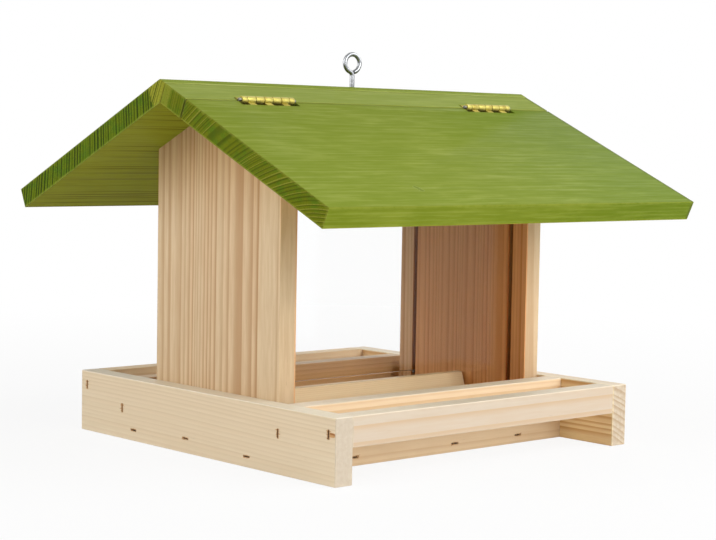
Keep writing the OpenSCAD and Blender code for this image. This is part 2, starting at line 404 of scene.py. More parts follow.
# %% One staple
CROWN = 5.2 * MM
WIRE_WIDTH, WIRE_THICK = 0.6 * MM, 0.5 * MM
SINK = 0.3 * MM
luck = random.Random(7)


def off_line(amount):
    """How far a hand misses its line, up to this many mm either way."""
    return luck.uniform(-amount, amount) * MM


def drive(spot, out, line):
    """One staple: its crown lies a few degrees off the line, and it bruises the wood more or less."""
    turn = Matrix.Rotation(math.radians(luck.uniform(-6, 6)), 3, out)
    return dict(spot=spot, out=out, crown=turn @ line, bruise=luck.uniform(0.25, 0.95))


print("a staple's crown in mm:", CROWN / MM, "sunk by", SINK / MM)

# %% Plan the staples
perch_y, perch_z = middle_of("back_perch_rail").yz
inner_y = middle_of("back_inner_rail").y
floor_z = middle_of("tray_floor").z
end_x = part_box("right_end_rail")[1].x
rail_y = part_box("back_inner_rail")[1].y


def plan_end_rail(side, upright_places, level_places):
    out = X_AXIS * side
    upright = [drive(Vector((side * end_x, y, z)), out, Z_AXIS) for y, z in upright_places]
    level = [drive(Vector((side * end_x, y, z)), out, Y_AXIS) for y, z in level_places]
    return upright + level


def plan_inner_rail(side, level_places):
    return [drive(Vector((x, side * rail_y, z)), Y_AXIS * side, X_AXIS) for x, z in level_places]


staples = {
    "left_end_rail": plan_end_rail(
        -1,
        [(perch_y, perch_z), (inner_y + 4 * MM, perch_z - 10 * MM),
         (-inner_y, perch_z - 6 * MM), (-perch_y, perch_z - 1 * MM)],
        [(inner_y - 8 * MM, floor_z + 0.5 * MM), (12 * MM, floor_z + 2.5 * MM), (-45 * MM, floor_z)]),
    "right_end_rail": plan_end_rail(
        1,
        [(side * row + off_line(3), perch_z - drop + off_line(4))
         for row, drop in ((perch_y, 0), (inner_y, 8 * MM)) for side in (-1, 1)],
        [(y * MM + off_line(8), floor_z + off_line(2)) for y in (-52, 0, 52)]),
    "front_inner_rail": plan_inner_rail(-1, [(x * MM, floor_z - 1 * MM) for x in (-66, 13, 67)]),
    "back_inner_rail": plan_inner_rail(
        1, [(x * MM + off_line(8), floor_z + off_line(2)) for x in (-64, 0, 64)]),
}
print("staples:", {board: len(places) for board, places in staples.items()})

# %% [markdown]
# ## Bare pine
# The tray and the gables are planed and left bare. One material for all of them would make them look
# sawn from one plank, so each board gets its own: the same recipe with its own pith, ring spacing and
# tint. A pith far from the board gives straight, even stripes, and a near one the broad flame of a
# flat-sawn face. End grain drinks up dust and goes greyer, with crumbs of torn fibre in it.

# %% Pine faces and pine ends
def pine_faces(tree, wood, cut):
    early, late = shade(*cut["early"]), shade(*cut["late"])
    rosy = tinted(early, (0.99, 0.90, 0.86, 1.0))
    threads = wood["threads"]
    colour = glaze(tree, early, wood["tone"], cut.get("rosy", 0.4), rosy)
    colour = glaze(tree, colour, threads["Clouds"], 0.3, rosy)
    colour = blend(tree, wood["late"], colour, late)
    colour = glaze(tree, colour, threads["Streaks"], cut.get("fibres", 0.14), late)
    colour = glaze(tree, colour, threads["Bands"], 0.22, late)
    return glaze(tree, colour, threads["Flecks"], 0.18, tinted(late, (0.62, 0.62, 0.62, 1.0)))


def pine_end(tree, wood, cut):
    end_early = shade(*cut.get("end", (222, 209, 188)))
    end_late = tinted(end_early, cut.get("end_late", (0.86, 0.80, 0.74, 1.0)))
    colour = glaze(tree, end_early, wood["late"], cut.get("end_lines", 0.7), end_late)
    crumbs = stretched_noise(tree, wood["place"], (420.0, 420.0, 90.0), 4.0, 0.7)
    return blend(tree, ramp(tree, crumbs, 0.36, 0.64, 0.0, 0.45), colour, end_late)


print("an end's early wood is", [round(c, 2) for c in shade(222, 209, 188)[:3]])

# %% [markdown]
# ## What differs from side to side
# The top edges of the tray are painted paler and greyer, as light from above falls on them. The inner
# faces are tinted with painted shade and warm bounce light, brighter on the right end rail, with some
# heartwood red in the gables, and the near gable is painted darker and warmer under the eave, as the
# roof's shade. The pane grooves get painted shade. These could be separate materials on separate
# faces, but the CAD mesh is left alone, so each is a soft mask in the board's own space.

# %% Painted light on tops, painted shade and light on inner faces
# Each pair says where a mask starts and where it is full, from the board's middle or the tray's top.
SANDED_TOP = (-0.8 * MM, -0.3 * MM)
HEART_SIDE = (-4.5 * MM, -6 * MM)
PANE_SIDE = (-47 * MM, -44 * MM)
DEEPER_BACK = (-5 * MM, 40 * MM)


# Painted light: the tray's top faces are painted paler and greyer, as lit from above.
def sand_top(tree, wood, colour, top):
    height = split(tree, wood["own"])["Z"]
    on_top = ramp(tree, height, tray_top + SANDED_TOP[0], tray_top + SANDED_TOP[1], 0.0, 0.7)
    return blend(tree, on_top, colour, shade(*top))


# Painted shade and light: the inner face is tinted for how it is lit, darker and redder with warm bounce
# light, or brighter, with some heartwood red in the gables.
def show_heartwood(tree, wood, colour, heart, deep_heart):
    heart_side = ramp(tree, wood["parts"]["Y"], *HEART_SIDE)
    if not deep_heart:
        return blend(tree, heart_side, colour, heart, "MULTIPLY")
    inside = ramp(tree, wood["parts"]["X"], *PANE_SIDE, 0.35, 1.0)
    heart_side = calc(tree, "MULTIPLY", heart_side, inside)
    colour = blend(tree, heart_side, colour, heart, "MULTIPLY")
    deep = calc(tree, "MULTIPLY", heart_side, ramp(tree, wood["parts"]["X"], *DEEPER_BACK))
    return blend(tree, deep, colour, deep_heart, "MULTIPLY")


# Where the painted light on the tray's tops starts.
print("the tray's sanded tops start in mm at", round((tray_top + SANDED_TOP[0]) / MM, 1))

# %% Painted shade under the eave and in the grooves
# Each pair says how far below the gable's peak, or in from its side, a mask starts and is full.
WARM_BELOW_PEAK = (75 * MM, 18 * MM)
WARM_EDGE_BELOW_PEAK = (110 * MM, 40 * MM)
WARM_EDGE_INSET = (0.8 * MM, 0.3 * MM)
# Painted shade in the pane grooves: the share of red, green and blue that they keep.
GROOVE_SHADE = (0.66, 0.42, 0.22, 1)


# Painted shade: the gable's top is tinted darker and warmer under the eave, and its front edge gets painted
# warm light there.
def warm_under_eave(tree, wood, colour, top, edge):
    parts, half = wood["parts"], wood["half"]
    warm = ramp(tree, parts["Z"], *[half.z - depth for depth in WARM_BELOW_PEAK])
    colour = blend(tree, warm, colour, top, "MULTIPLY")
    off_middle = calc(tree, "ABSOLUTE", parts["X"])
    on_edge = ramp(tree, off_middle, *[half.x - inset for inset in WARM_EDGE_INSET])
    near_eave = ramp(tree, parts["Z"], *[half.z - depth for depth in WARM_EDGE_BELOW_PEAK])
    return blend(tree, calc(tree, "MULTIPLY", near_eave, on_edge), colour, edge, "MULTIPLY")


def darken_grooves(tree, wood, colour, groove):
    """Paints shade into the two saw grooves of a gable, which start and end this far from its middle."""
    off_middle = calc(tree, "ABSOLUTE", wood["parts"]["X"])
    past_start = calc(tree, "GREATER_THAN", off_middle, groove[0])
    before_end = calc(tree, "LESS_THAN", off_middle, groove[1])
    inner_side = calc(tree, "LESS_THAN", wood["parts"]["Y"], 0.0)
    inside = calc(tree, "MULTIPLY", calc(tree, "MULTIPLY", past_start, before_end), inner_side)
    return blend(tree, inside, colour, GROOVE_SHADE, "MULTIPLY")


print("a groove keeps this share of red, green and blue:", GROOVE_SHADE[:3])

# %% The pine recipe
BRUISED = shade(190, 140, 88)
# The dark core is crushed fibre together with painted shade in the staple's dent.
CRUSHED = shade(92, 60, 34)
BRUISE_REACH = Vector((0.2, 0.2, 0.2)) * MM
BENT_END = 0.6 * MM


# Torn fibre round each staple, and painted shade in its dent.
def bruise_boards(tree, wood, colour, node):
    into_board = wood["turn"].transposed()
    for staple in staples.get(node, []):
        long_way = Vector([abs(c) for c in into_board @ staple["crown"]])
        mark = use_group(tree, bruise, {
            "Place": wood["place"], "Centre": into_board @ (staple["spot"] - wood["centre"]),
            "Half Size": long_way * (CROWN / 2 - BENT_END) + BRUISE_REACH})["Bruise"]
        colour = blend(tree, ramp(tree, mark, 0.0, 0.7, 0.0, 0.75), colour, BRUISED)
        colour = blend(tree, ramp(tree, mark, 0.7, 1.0, 0.0, staple["bruise"]), colour, CRUSHED)
    return colour


def bare_pine(name, node, cut):
    made, tree, shader = start_material(name)
    wood = read_wood(tree, node, cut)
    colour = blend(tree, wood["end_grain"], pine_faces(tree, wood, cut), pine_end(tree, wood, cut))
    pale = tuple(min(1.0, c * 1.08) for c in shade(*cut["early"]))
    colour = glaze(tree, colour, wood["arris"], 0.22, pale)
    if "top" in cut:
        colour = sand_top(tree, wood, colour, cut["top"])
    if "heart" in cut:
        colour = show_heartwood(tree, wood, colour, cut["heart"], cut.get("deep_heart"))
    if "warm_top" in cut:
        colour = warm_under_eave(tree, wood, colour, cut["warm_top"], cut["warm_edge"])
    if "groove" in cut:
        colour = darken_grooves(tree, wood, colour, cut["groove"])
    colour = bruise_boards(tree, wood, colour, node)
    plane_smooth(tree, shader, wood, colour, rough=(0.52, 0.68), gloss=0.15,
                 rings_stand=0.5, depth=0.06 * MM, strength=0.6)
    return made


print("staples that bruise a board:", sum(len(places) for places in staples.values()))

# %% [markdown]
# ## Green wood stain
# The roof is stained, not painted: stain is thin, so the wood shows through. A flat green would hide
# that, so the recipe starts from the same rings and fibres as the bare pine. Dense late wood takes
# little stain and stays as pale olive lines. Less went on underneath, where brown lines show. The lid's
# rim soaked up more, the lid gets painted shade that deepens towards its far end, and one short scrape
# on the lid is a bruise box turned to its slant.

# %% Stained faces
STAIN = {name: shade(*colour) for name, colour in dict(
    early=(141, 153, 68), late=(153, 162, 89), cloud=(116, 132, 38), pale=(162, 172, 102),
    speck=(98, 116, 30), soaked=(98, 110, 56), worn=(146, 150, 62), seam=(58, 44, 10),
    under=(144, 150, 42), under_line=(102, 88, 12), dry=(149, 149, 46)).items()}
# The tint is full this near to the edge, and gone this far from it.
START_EDGE_BAND = (0.5 * MM, 1.2 * MM)


def add_scrape(tree, wood, top, scrape):
    along = into_box(tree, wood["place"], scrape["spot"], (0, scrape["turn"], 0))
    mark = use_group(tree, bruise, {"Place": along, "Half Size": scrape["half"]})["Bruise"]
    top = blend(tree, ramp(tree, mark, 0.02, 0.35, 0.0, 0.5), top, STAIN["pale"])
    return blend(tree, ramp(tree, mark, 0.4, 0.8, 0.0, 0.7), top, STAIN["speck"])


def stained_top(tree, wood, cut):
    """The upper face: cloudy and faintly lined."""
    parts, half, threads = wood["parts"], wood["half"], wood["threads"]
    mottle = stretched_noise(tree, wood["place"], (95.0, 95.0, 26.0), 4.0, 0.62)
    top = blend(tree, ramp(tree, mottle, 0.36, 0.62, 0.0, 0.55), STAIN["early"], STAIN["cloud"])
    top = glaze(tree, top, wood["late"], 0.62, STAIN["late"])
    top = glaze(tree, top, threads["Bands"], 0.70, STAIN["cloud"])
    top = glaze(tree, top, threads["Streaks"], 0.50, STAIN["cloud"])
    top = glaze(tree, top, threads["Flecks"], 0.3, STAIN["speck"])
    if "pale" in cut:
        top = blend(tree, cut["pale"], top, STAIN["pale"])
    # Painted shade that deepens towards the board's far end, against the brighter lamp light there.
    if "deeper_end" in cut:
        top = blend(tree, ramp(tree, parts["Z"], -0.2 * half.z, half.z), top, cut["deeper_end"], "MULTIPLY")
    if "soaked_rim" in cut:
        rim = cut["soaked_rim"]
        at_rim = ramp(tree, parts["Z"], half.z - rim, half.z - 0.4 * rim, 0.0, 0.9)
        top = blend(tree, at_rim, top, STAIN["soaked"])
    if "scrape" in cut:
        top = add_scrape(tree, wood, top, cut["scrape"])
    if "start_edge" in cut:
        from_edge = calc(tree, "ADD", parts["X"], half.x)
        at_edge = ramp(tree, from_edge, *START_EDGE_BAND, 1.0, 0.0)
        top = blend(tree, at_edge, top, cut["start_edge"], "MULTIPLY")
    return top


print("stain colours:", len(STAIN))

# %% The stained underside
def stained_under(tree, wood, cut):
    """The lower face: brown-lined, less so near the ends, where more stain went on."""
    from_middle = calc(tree, "ABSOLUTE", wood["parts"]["Z"])
    most = cut.get("under_lines", 0.85)
    share = ramp(tree, from_middle, 0.75 * wood["half"].z, wood["half"].z, most, 0.25)
    under = glaze(tree, STAIN["under"], ramp(tree, wood["late"], 0.38, 0.62), share, STAIN["under_line"])
    return glaze(tree, under, wood["threads"]["Bands"], 0.18, STAIN["under_line"])


print("the underside's line colour:", [round(c, 3) for c in STAIN["under_line"][:3]])

# %% [markdown]
# ## Stained end grain
# The cut ends face you at the gable and show the stain at its darkest. Early wood is thirsty and goes
# nearly black-green, late wood stays as thin pale lines, and open pores make dark dots. One board's end
# dried out towards the ridge and is paler, with cracks across it. A tinted copy of the face would miss
# all that, so the ends have their own recipe on the same rings.

# %% Stained ends
def end_tint(**colours):
    return {name: shade(*colour) for name, colour in colours.items()}


OLIVE_END = end_tint(open=(102, 110, 12), green=(76, 110, 18), dense=(64, 72, 0), line=(140, 142, 46))
GREEN_END = end_tint(open=(98, 114, 14), green=(74, 108, 20), dense=(38, 52, 0), line=(118, 132, 38))
CRACKS_PER_M = 900
DRY_RAGGED, DRY_FADE = 8 * MM, 2 * MM
# The paler line along the low edge is full this near to it, and gone this far from it.
LOW_EDGE_BAND = (0.5 * MM, 1.4 * MM)


def dry_out(tree, wood, end, blotch, reach, dense):
    """Paler, cracked end grain from the ridge down to reach."""
    forward = (0, CRACKS_PER_M * math.cos(roof_pitch), CRACKS_PER_M * math.sin(roof_pitch))
    cracks = line_noise(tree, move(tree, "DOT_PRODUCT", wood["own"], forward))
    dry = blend(tree, ramp(tree, cracks, 0.53, 0.62, 0.0, 0.8), STAIN["dry"], dense)
    from_ridge = calc(tree, "ADD", wood["parts"]["X"], wood["half"].x)
    ragged = calc(tree, "MULTIPLY_ADD", blotch, DRY_RAGGED, from_ridge)
    return blend(tree, ramp(tree, ragged, reach, reach + DRY_FADE, 0.9, 0.0), end, dry)


def stained_end(tree, wood, cut):
    parts, half, tint = wood["parts"], wood["half"], cut["end_tint"]
    blotch = stretched_noise(tree, wood["place"], (90.0, 150.0, 90.0), 4.0, 0.6)
    end = blend(tree, ramp(tree, blotch, 0.40, 0.68, 0.0, cut["green"]), tint["open"], tint["green"])
    end = blend(tree, ramp(tree, wood["late"], 0.0, 0.45, 0.0, cut["end_bands"]), end, tint["dense"])
    end = blend(tree, ramp(tree, wood["late"], 0.50, 0.80, 0.0, cut["end_lines"]), end, tint["line"])
    if "thin_near_ridge" in cut:
        thin = cut["thin_near_ridge"]
        near_ridge = ramp(tree, parts["X"], half.x - thin, half.x - 0.6 * thin, 0.0, 0.6)
        end = blend(tree, near_ridge, end, tint["line"])
    if "dry_ridge" in cut:
        end = dry_out(tree, wood, end, blotch, cut["dry_ridge"], tint["dense"])
    pores = stretched_noise(tree, wood["place"], (1400.0, 1400.0, 300.0))
    end = blend(tree, ramp(tree, pores, 0.52, 0.68, 0.0, 0.35), end, tint["dense"])
    from_low = calc(tree, "ADD", parts["Y"], half.y)
    return blend(tree, ramp(tree, from_low, *LOW_EDGE_BAND, 0.45, 0.0), end, tint["line"])


print("the darkest end green:", [round(c, 3) for c in GREEN_END["dense"][:3]])

# %% The stain recipe
# The underside's finish starts this far above the lower face, and is full this far above it.
UNDER_SKIN = (1.0 * MM, 0.4 * MM)


def stained_pine(name, node, cut):
    made, tree, shader = start_material(name)
    wood = read_wood(tree, node, cut)
    parts, half = wood["parts"], wood["half"]
    below = ramp(tree, parts["Y"], *[skin - half.y for skin in UNDER_SKIN])
    faces = blend(tree, below, stained_top(tree, wood, cut), stained_under(tree, wood, cut))
    colour = blend(tree, wood["end_grain"], faces, stained_end(tree, wood, cut))
    colour = glaze(tree, colour, wood["arris"], 0.45, STAIN["worn"])
    if "seam" in cut:
        to_neighbour = calc(tree, "SUBTRACT", half.x, parts["X"])
        seam = ramp(tree, to_neighbour, 0.6 * cut["seam"], cut["seam"], cut.get("seam_share", 1.0), 0.0)
        colour = blend(tree, seam, colour, STAIN["seam"])
    plane_smooth(tree, shader, wood, colour, rough=(0.55, 0.72), gloss=0.04,
                 rings_stand=0.4, depth=0.08 * MM, strength=0.7)
    return made


print("recipes for wood: bare_pine and stained_pine")

# %% [markdown]
# ## Dressing a CAD board
# The CAD board has dead sharp corners, which catch no light. Its mesh isn't redrawn. Three modifiers
# soften it instead: Weld joins the split corners, Decimate in dissolve mode clears the flat triangles,
# and Bevel rounds the arrises by a fraction of a millimetre.

# %% Finish a CAD node
JOIN_WITHIN = 0.005 * MM
FLAT_WITHIN = math.radians(1)
ROUND_FROM = math.radians(35)


def soften(piece, width, segments):
    weld = piece.modifiers.new("join_corners", "WELD")
    weld.merge_threshold = JOIN_WITHIN
    clear = piece.modifiers.new("clear_flats", "DECIMATE")
    clear.decimate_type = "DISSOLVE"
    clear.angle_limit = FLAT_WITHIN
    round_off = piece.modifiers.new("round_arrises", "BEVEL")
    round_off.width = width
    round_off.segments = segments
    round_off.limit_method = "ANGLE"
    round_off.angle_limit = ROUND_FROM
    round_off.harden_normals = True


def dress(node, finish, width, segments=2):
    piece = frame["nodes"][node]
    piece.data.materials.clear()
    piece.data.materials.append(finish)
    soften(piece, width, segments)


def board(face, grain, pith, ring_gap, seed, early=None, late=None, **more):
    """How a board was cut. pith is where its log's pith lies, in mm across and through, from its middle."""
    return dict(face=face, grain=grain, pith=(pith[0] * MM, pith[1] * MM), ring_gap=ring_gap * MM,
                seed=seed, early=early, late=late, **more)


print("ready to dress", len(frame["nodes"]), "nodes")

# %% [markdown]
# ## Pine for the tray
# Seven boards make the tray. They come from different planks, so their stripes differ in spacing and
# warmth. Each row says which way the broad face looks and the grain runs, where the pith lies, how wide
# the rings are, and the colours of early and late wood. The far end rail has the boldest figure.

# %% Dress the tray
BARE_ARRIS = 0.35 * MM
bare_boards = {
    "left_end_rail": board(-X_AXIS, Y_AXIS, (120, -80), 2.1, 0.0, (224, 208, 180), (212, 191, 159),
                           lean=(0, 0.012, 0), drift=0.35, wander=3 * MM, end=(200, 187, 168),
                           end_lines=0.1, top=(238, 228, 210), fibres=0.3),
    # The tint on the inner face of the right end rail is painted light, and on the back inner rail painted
    # shade.
    "right_end_rail": board(X_AXIS, Y_AXIS, (-90, -45), 3.6, 3.0, (238, 212, 172), (202, 152, 100),
                            faintest=0.8, wander=1 * MM, heart=(1.2, 1.22, 1.12, 1),
                            end=(206, 192, 170), end_late=(0.70, 0.58, 0.48, 1), end_lines=0.9,
                            top=(238, 228, 210)),
    "front_inner_rail": board(-Y_AXIS, X_AXIS, (-120, 30), 6.5, 5.0, (238, 214, 180), (222, 188, 145),
                              top=(226, 214, 196)),
    "back_inner_rail": board(Y_AXIS, X_AXIS, (110, 40), 3.6, 7.0, (216, 188, 152), (203, 168, 128),
                             heart=(1.0, 0.85, 0.66, 1)),
    "front_perch_rail": board(-Y_AXIS, X_AXIS, (-110, 50), 5.0, 9.0, (204, 192, 174), (199, 171, 139),
                              top=(234, 222, 202)),
    "back_perch_rail": board(Y_AXIS, X_AXIS, (110, -50), 4.4, 11.0, (238, 214, 178), (224, 188, 144)),
    "tray_floor": board(Z_AXIS, X_AXIS, (30, -60), 4.0, 13.0, (226, 204, 170), (200, 162, 118)),
}
for node, cut in bare_boards.items():
    dress(node, bare_pine("pine_" + node, node, cut), BARE_ARRIS)
print("tray boards:", len(bare_boards))

# %% [markdown]
# ## Pine for the gables
# The gables stand upright, so their grain runs up and their stripes are long and even. The near one
# was sawn where several dry years lie together, which is its dense bundle of lines. Both have painted
# shade and warm bounce light on their inner faces, with some heartwood red, and their grooves are
# found from the panes that stand in them.

# %% Dress the gables
# Painted shade and warm bounce light on the gables' inner faces, with some heartwood red.
HEART = (1.18, 0.84, 0.60, 1)
DEEP_HEART = (0.98, 0.88, 0.74, 1)
GROOVE_INSET = 0.9 * MM
pane_low, pane_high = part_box("front_pane")
groove = (abs(pane_high.y) - GROOVE_INSET, abs(pane_low.y) + GROOVE_INSET)
gables = {
    "left_upright": board(-X_AXIS, Z_AXIS, (117.5, -20), 11, 15.0, (215, 193, 158), (174, 135, 94),
                          drift=0.4, wander=2 * MM, dry_years=(0.107, 0.022, 8.0), rosy=0.9,
                          heart=HEART, groove=groove, warm_top=(0.86, 0.77, 0.62, 1),
                          warm_edge=(1.18, 1.03, 0.82, 1)),
    "right_upright": board(X_AXIS, Z_AXIS, (-140, -40), 4.3, 17.0, (216, 193, 158), (188, 147, 106),
                           lean=(0, 0.008, 0), wander=2.5 * MM, dry_years=(0.140, 0.030, 3.0),
                           heart=HEART, deep_heart=DEEP_HEART, groove=groove),
}
for node, cut in gables.items():
    dress(node, bare_pine("pine_" + node, node, cut), BARE_ARRIS)
print("a groove runs in mm from", round(groove[0] / MM, 1), "to", round(groove[1] / MM, 1))

# %% [markdown]
# ## Stain for the roof
# Three boards carry the stain: the whole back slope, the fixed strip at the ridge and the lid. One
# finish for the whole roof would lose the joints, so each board has its own rings. The lid has a dark
# line of soaked wood where it meets the strip, and the strip a fainter one along the ridge. start_edge
# tints the edge where the board's X starts: the ridge edge of the back board and the eave of the lid.

# %% Dress the roof
STAINED_ARRIS = 0.45 * MM
SCRAPE = dict(spot=(-45.3 * MM, 0, -66.4 * MM), turn=math.radians(16.6), half=(3.0 * MM, 0.1, 0.7 * MM))
stained_boards = {
    "back_roof_board": board(back_slope, X_AXIS, (230, 100), 2.7, 21.0, drift=0.2, wander=1 * MM,
                             faintest=0.2, end_tint=GREEN_END, green=0.7, end_bands=1.0, end_lines=0.12,
                             start_edge=(1.5, 1.4, 2.2, 1), dry_ridge=18 * MM),
    "ridge_strip": board(front_slope, X_AXIS, (140, -10), 2.0, 23.0, pale=0.25, faintest=0.2,
                         end_tint=OLIVE_END, green=0.9, end_bands=0.6, end_lines=0.5,
                         thin_near_ridge=9 * MM, seam=0.9 * MM, seam_share=0.5, soaked_rim=3.2 * MM),
    "roof_lid": board(front_slope, X_AXIS, (-107, -104), 2.2, 25.0, dry_years=(0.1745, 0.012, -4.5),
                      faintest=0.3, end_tint=OLIVE_END, green=0.7, end_bands=0.8, end_lines=0.75,
                      start_edge=(0.83, 0.83, 0.52, 1), seam=0.7 * MM, deeper_end=(0.78, 0.87, 0.74, 1),
                      soaked_rim=3.2 * MM, scrape=SCRAPE, under_lines=0.45),
}
for node, cut in stained_boards.items():
    dress(node, stained_pine("stain_" + node, node, cut), STAINED_ARRIS)
print("stained boards:", len(stained_boards))

# %% [markdown]
# ## The seed divider
# A pale wedge on the floor between the panes sends the seed out to both sides. It is a small offcut
# with fine, even rings, so it needs no recipe of its own: the bare pine with close rings does it.

# %% Dress the seed divider
divider_cut = board(Z_AXIS, X_AXIS, (20, 300), 1.2, 31.0, (238, 215, 176), (228, 200, 156))
DIVIDER_ARRIS = 0.5 * MM
dress("seed_divider", bare_pine("pine_seed_divider", "seed_divider", divider_cut), DIVIDER_ARRIS)
print("divider in mm:", [round(c / MM, 1) for c in size_of("seed_divider")])

# %% [markdown]
# ## Brass, zinc, steel and iron wire
# The hinges are rolled from brass strip, the eye has a bright zinc coat, the pins are plain steel gone
# dull and the staples are dark wire. Metal is mostly reflection, so a flat yellow would look like
# plastic: its colour sits in Base Color with Metallic at one, and the story is in the roughness, with
# drawing lines and a slow tarnish that all four metals share.

# %% The metal recipe
def make_metal_wear():
    tree, given, result = new_group("metal_wear", {"Place": (0, 0, 0)}, ("Lines", "Tarnish"))
    lines = stretched_noise(tree, given["Place"], (90.0, 4200.0, 4200.0))
    tarnish = noise(tree, given["Place"], 190.0, 4.0, 0.6)
    fill(tree, result["Lines"], ramp(tree, lines, 0.3, 0.7))
    fill(tree, result["Tarnish"], ramp(tree, tarnish, 0.42, 0.72))
    return tree


metal_wear = make_metal_wear()


def metal(name, bright, dull, smoothest, roughest):
    made, tree, shader = start_material(name)
    wear = use_group(tree, metal_wear, {"Place": own_place(tree)})
    fill(tree, shader.inputs["Base Color"], glaze(tree, bright, wear["Tarnish"], 0.6, dull))
    shader.inputs["Metallic"].default_value = 1.0
    tarnish = calc(tree, "MULTIPLY", wear["Tarnish"], 0.65)
    dulled = calc(tree, "MULTIPLY_ADD", wear["Lines"], 0.35, tarnish)
    fill(tree, shader.inputs["Roughness"], ramp(tree, dulled, 0.0, 1.0, smoothest, roughest))
    bump = add_node(tree, "Bump", {"Height": wear["Lines"], "Distance": 0.01 * MM, "Strength": 0.4})
    fill(tree, shader.inputs["Normal"], bump.outputs[0])
    return made


bright_brass = metal("bright_brass", shade(182, 172, 92), shade(140, 118, 46), 0.56, 0.70)
bright_zinc = metal("bright_zinc", (0.300, 0.308, 0.318, 1), (0.120, 0.122, 0.126, 1), 0.14, 0.30)
dull_steel = metal("dull_steel", (0.230, 0.225, 0.200, 1), (0.120, 0.110, 0.095, 1), 0.50, 0.68)
dark_wire = metal("dark_wire", (0.060, 0.042, 0.028, 1), (0.028, 0.018, 0.012, 1), 0.50, 0.70)
print("made group", metal_wear.name, "with", len(metal_wear.nodes), "nodes, used by four metals")

# %% Dress the hinges and pins
LEAF_ARRIS, HINGE_PIN_ARRIS, PANE_PIN_ARRIS = 0.06 * MM, 0.25 * MM, 0.15 * MM
for side in ("left", "right"):
    dress(side + "_hinge_fixed_leaf", bright_brass, LEAF_ARRIS, 1)
    dress(side + "_hinge_lid_leaf", bright_brass, LEAF_ARRIS, 1)
    dress(side + "_hinge_pin", dull_steel, HINGE_PIN_ARRIS, 2)
dress("pane_stop_pins", dull_steel, PANE_PIN_ARRIS, 1)
print("hinge length in mm:", round(size_of("left_hinge_pin").x / MM, 1))

# %% [markdown]
# ## Sweeping a bar along a path
# Staples and the eye screw are bent wire. A curve object with a bevel would do, but its section can't
# change from a flat strip to a point. A sweep carries one outline per step along a path and turns it
# with the bend. The turn is handed on from point to point, so the wire never twists.

# %% Outlines and the sweep
def circle_outline(radius, corners=16):
    turns = [2 * math.pi * i / corners for i in range(corners)]
    return [(radius * math.cos(t), radius * math.sin(t)) for t in turns]


def bar_outline(long, wide, corner):
    """A rectangle, given by its half sizes, with its four corners taken off."""
    half = [(long, wide - corner), (long - corner, wide), (corner - long, wide), (-long, wide - corner)]
    return half + [(-a, -b) for a, b in half]


def flat_outline(width, thick):
    return bar_outline(width / 2, thick / 2, thick / 4)


def close_loops(shape, loops):
    """Faces between each loop of points and the next, and a cap on both ends."""
    for first, second in zip(loops, loops[1:]):
        for i in range(len(first)):
            j = (i + 1) % len(first)
            shape.faces.new((first[i], first[j], second[j], second[i]))
    shape.faces.new(loops[0][::-1])
    shape.faces.new(loops[-1])


def sweep(shape, path, outlines, up):
    loops = []
    for step, point in enumerate(path):
        ahead = (path[min(step + 1, len(path) - 1)] - path[max(step - 1, 0)]).normalized()
        side = ahead.cross(up).normalized()
        up = side.cross(ahead)
        loops.append([shape.verts.new(point + side * a + up * b) for a, b in outlines[step]])
    close_loops(shape, loops)


print("corners on a round wire:", len(circle_outline(1.0)), "and on a flat one:", len(flat_outline(1.0, 0.5)))

# %% Turn a shape into a piece
def add_to_scene(name, data):
    made = bpy.data.objects.new(name, data)
    bpy.context.scene.collection.objects.link(made)
    return made


def mesh_from(name, shape):
    bmesh.ops.recalc_face_normals(shape, faces=shape.faces)
    mesh = bpy.data.meshes.new(name)
    shape.to_mesh(mesh)
    shape.free()
    return mesh


def make_piece(name, shape, finish, body, smooth_angle=40):
    mesh = mesh_from(name, shape)
    mesh.shade_smooth()
    mesh.set_sharp_from_angle(angle=math.radians(smooth_angle))
    mesh.materials.append(finish)
    piece = add_to_scene(name, mesh)
    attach(piece, body)
    print(name, "faces:", len(mesh.polygons))
    return piece


# %% [markdown]
# ## Staples and their dents
# Each staple is a flat wire bent down at both ends. Its crown lies a little below the surface, in a
# dent that the gun's driver punched. Cutting the dents into the board would change the CAD mesh, so a
# Boolean modifier with a hidden cutter does it, after the bevel.

# %% A staple and its dent
BEND = 0.7 * MM
BEND_TURNS = (0, 0.4, 0.8, 1.2, math.pi / 2)
LEG = 5 * MM
DENT_CORNER = 0.2 * MM
DENT_TOP = (0.6 * MM, 0.2 * MM)
DENT_FLOOR = (-SINK - 0.9 * WIRE_THICK, 0.0)
DENT_PLAY_LONG, DENT_PLAY_WIDE = 0.06 * MM, 0.03 * MM


def staple_path(staple):
    level = staple["spot"] - staple["out"] * (SINK + WIRE_THICK / 2)
    along, down = staple["crown"], -staple["out"]
    half = CROWN / 2 - WIRE_THICK / 2
    right_half = [(half - BEND + BEND * math.sin(t), BEND * (1 - math.cos(t))) for t in BEND_TURNS]
    right_half += [(half, LEG)]
    outline = [(-a, b) for a, b in reversed(right_half)] + right_half
    return [level + along * a + down * b for a, b in outline]


def add_dent(shape, staple):
    """A punched slot: a long box that is wider above the surface than at its floor."""
    along, out = staple["crown"], staple["out"]
    across = out.cross(along)
    loops = []
    for height, grow in (DENT_TOP, DENT_FLOOR):
        half_long = CROWN / 2 + DENT_PLAY_LONG + grow
        half_wide = WIRE_WIDTH / 2 + DENT_PLAY_WIDE + grow
        outline = bar_outline(half_long, half_wide, DENT_CORNER)
        middle = staple["spot"] + out * height
        loops.append([shape.verts.new(middle + along * a + across * b) for a, b in outline])
    close_loops(shape, loops)


print("points along a staple:", len(staple_path(staples["left_end_rail"][0])))

# %% [markdown]
# ## Torn fibres
# Where a crown goes in, it pulls up slivers of wood. They leave the surface at a low angle and end in a
# point. A rough normal map can't catch the light as they do, so they are thin swept meshes, four to a
# staple. Beside one staple of the near rail a flat chip has split off.

